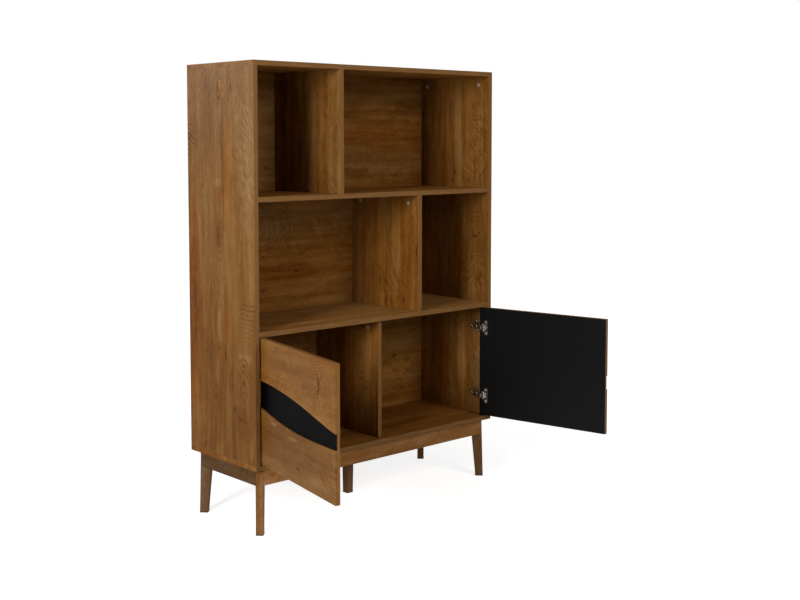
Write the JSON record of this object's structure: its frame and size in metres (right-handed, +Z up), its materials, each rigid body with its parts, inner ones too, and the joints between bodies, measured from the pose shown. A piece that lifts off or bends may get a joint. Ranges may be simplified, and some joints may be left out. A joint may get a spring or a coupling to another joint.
{
  "type": "bookcase",
  "caption": "Free-standing bookcase with open divided compartments above hinged layered doors that stand open, on a wooden base with splayed tapered legs.",
  "frame": {"origin": "on the floor, under the centre of the carcass, where the middle foot stands", "axes": "+X to the right seen from the front, +Y towards the back, +Z up"},
  "size_m": [1.143, 0.8057, 1.4051],
  "materials": {
    "board": "satin oak-look decor",
    "back_board": "satin oak-look decor",
    "base_frame_wood": "satin",
    "leg_wood": "satin stain",
    "door_front": "satin oak-look decor",
    "door_core": "matt black decor",
    "glide": "matt",
    "dowel_wood": "raw beech",
    "base_steel": "zinc plated",
    "zinc_fastener": "zinc plated",
    "cam_zinc": "bare die-cast zinc",
    "hinge_nickel": "nickel plated"
  },
  "bodies": {
    "carcass": {"apron_angle_screws": "zinc_fastener", "apron_angles": "base_steel", "back_panel_lower": "back_board", "back_panel_middle": "back_board", "back_panel_upper": "back_board", "bottom_panel": "board", "cam_bolts": "cam_zinc", "cam_locks": "cam_zinc", "carcass_screws": "zinc_fastener", "centre_leg": "leg_wood", "centre_leg_plate": "base_steel", "centre_leg_screws": "zinc_fastener", "corner_plate_screws": "zinc_fastener", "corner_plates": "base_steel", "front_apron": "base_frame_wood", "front_left_leg": "leg_wood", "front_right_leg": "leg_wood", "hinge_arm_screws": "hinge_nickel", "hinge_mount_screws": "hinge_nickel", "left_apron": "base_frame_wood", "left_lower_hinge_arm": "hinge_nickel", "left_lower_hinge_mount": "hinge_nickel", "left_side_panel": "board", "left_upper_hinge_arm": "hinge_nickel", "left_upper_hinge_mount": "hinge_nickel", "leg_bolts": "zinc_fastener", "leg_glides": "glide", "leg_nuts": "zinc_fastener", "lower_divider": "board", "lower_shelf": "board", "middle_divider": "board", "rear_apron": "base_frame_wood", "rear_left_leg": "leg_wood", "rear_right_leg": "leg_wood", "right_apron": "base_frame_wood", "right_lower_hinge_arm": "hinge_nickel", "right_lower_hinge_mount": "hinge_nickel", "right_side_panel": "board", "right_upper_hinge_arm": "hinge_nickel", "right_upper_hinge_mount": "hinge_nickel", "top_panel": "board", "upper_divider": "board", "upper_shelf": "board", "wood_dowels": "dowel_wood"},
    "left_door": {"left_door_core": "door_core", "left_door_lower_front": "door_front", "left_door_upper_front": "door_front", "left_hinge_cup_screws": "hinge_nickel", "left_hinge_pins": "hinge_nickel", "left_lower_hinge_cup": "hinge_nickel", "left_upper_hinge_cup": "hinge_nickel"},
    "right_door": {"right_door_core": "door_core", "right_door_lower_front": "door_front", "right_door_upper_front": "door_front", "right_hinge_cup_screws": "hinge_nickel", "right_hinge_pins": "hinge_nickel", "right_lower_hinge_cup": "hinge_nickel", "right_upper_hinge_cup": "hinge_nickel"}
  },
  "joints": [
    {"name": "left_door_hinge", "type": "hinge", "parent": "carcass", "child": "left_door", "pos_m": [-0.4715, -0.1685, 0.4], "axis": [0, 0, 1], "range_deg": [-5.5, 101.5]},
    {"name": "right_door_hinge", "type": "hinge", "parent": "carcass", "child": "right_door", "pos_m": [0.4715, -0.1685, 0.4], "axis": [0, 0, 1], "range_deg": [-101.5, 5.5]}
  ]
}
